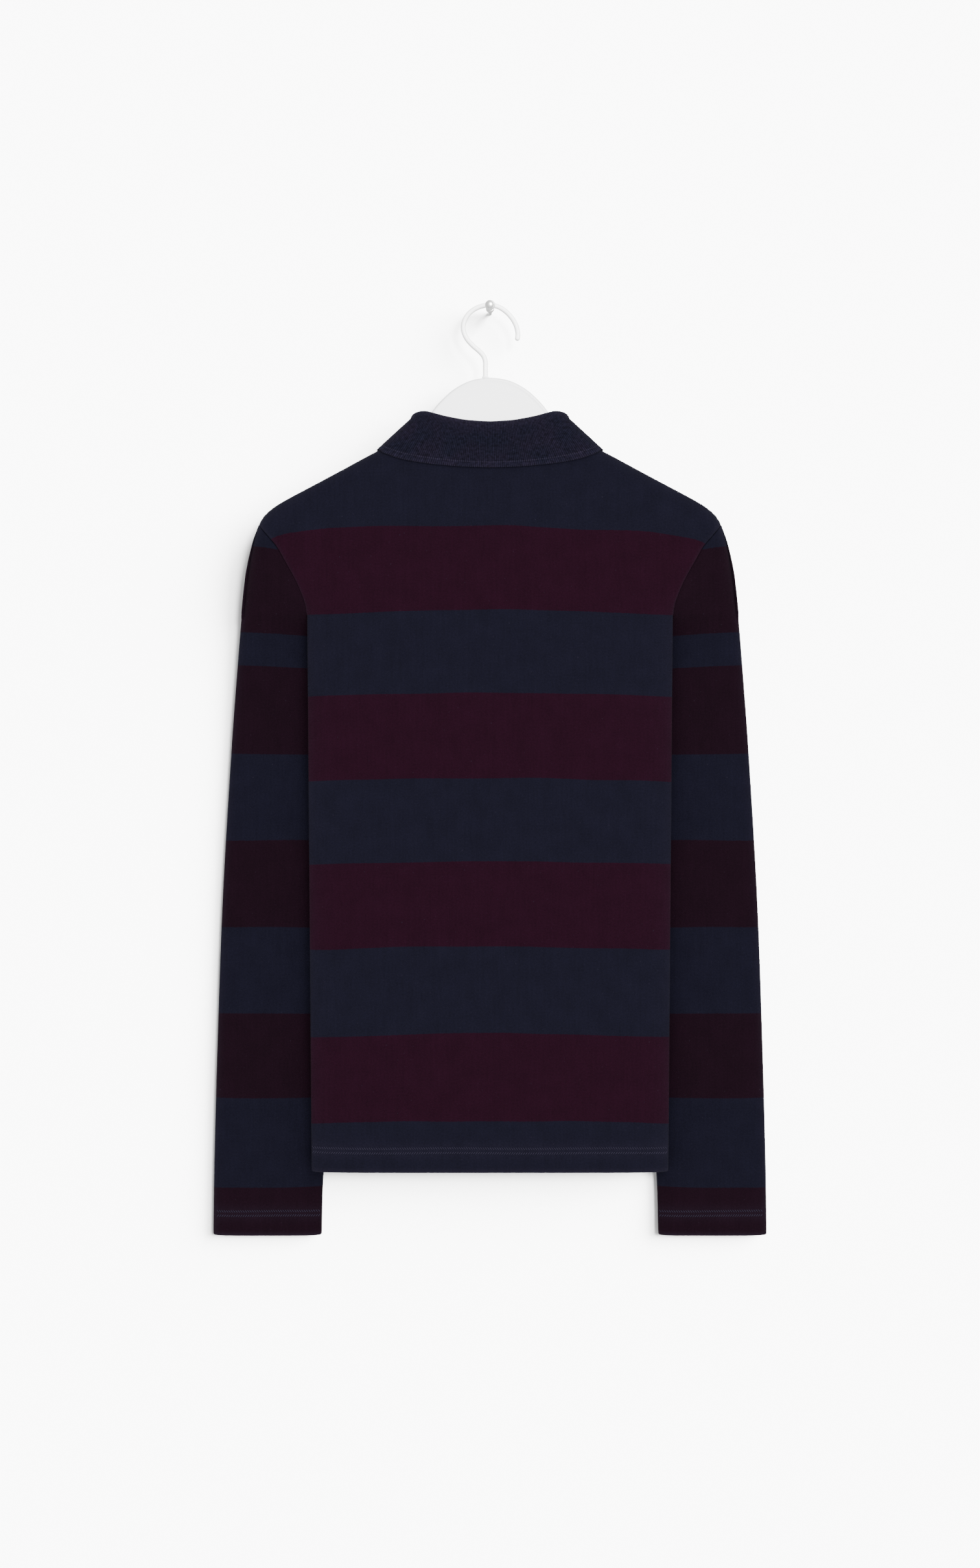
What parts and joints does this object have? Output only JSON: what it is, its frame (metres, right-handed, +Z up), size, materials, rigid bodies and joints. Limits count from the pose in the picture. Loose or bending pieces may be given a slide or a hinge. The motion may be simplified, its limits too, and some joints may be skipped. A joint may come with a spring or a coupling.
{
  "type": "long-sleeved striped polo shirt on a hanger and wall peg",
  "caption": "Long-sleeved striped jersey polo shirt with a rib collar and front placket, hanging flat on a plastic hanger whose hook lies over a round-headed wall peg.",
  "frame": {"origin": "centre of the wall peg's flat back, on the wall", "axes": "+Z up, +Y into the wall, +X to the right for someone who faces the shirt's back, which looks along -Y"},
  "size_m": [0.4796, 0.0424, 0.8121],
  "materials": {
    "jersey": "brushed cotton jersey, wide navy and plum stripes",
    "collar_rib": "flat-knit cotton rib, navy",
    "placket": "cotton jersey, navy",
    "button": "polished, dark navy",
    "hanger_plastic": "satin moulded, light grey",
    "hook_plastic": "smooth, white",
    "peg_steel": "polished"
  },
  "bodies": {
    "root": {"back": "jersey", "front": "jersey", "sleeve_left": "jersey", "sleeve_right": "jersey", "collar": "collar_rib", "placket_under": "placket", "placket_upper": "placket", "button_1": "button", "button_2": "button", "button_3": "button", "hanger": "hanger_plastic", "hanger_hook": "hook_plastic", "wall_peg": "peg_steel"}
  },
  "joints": []
}
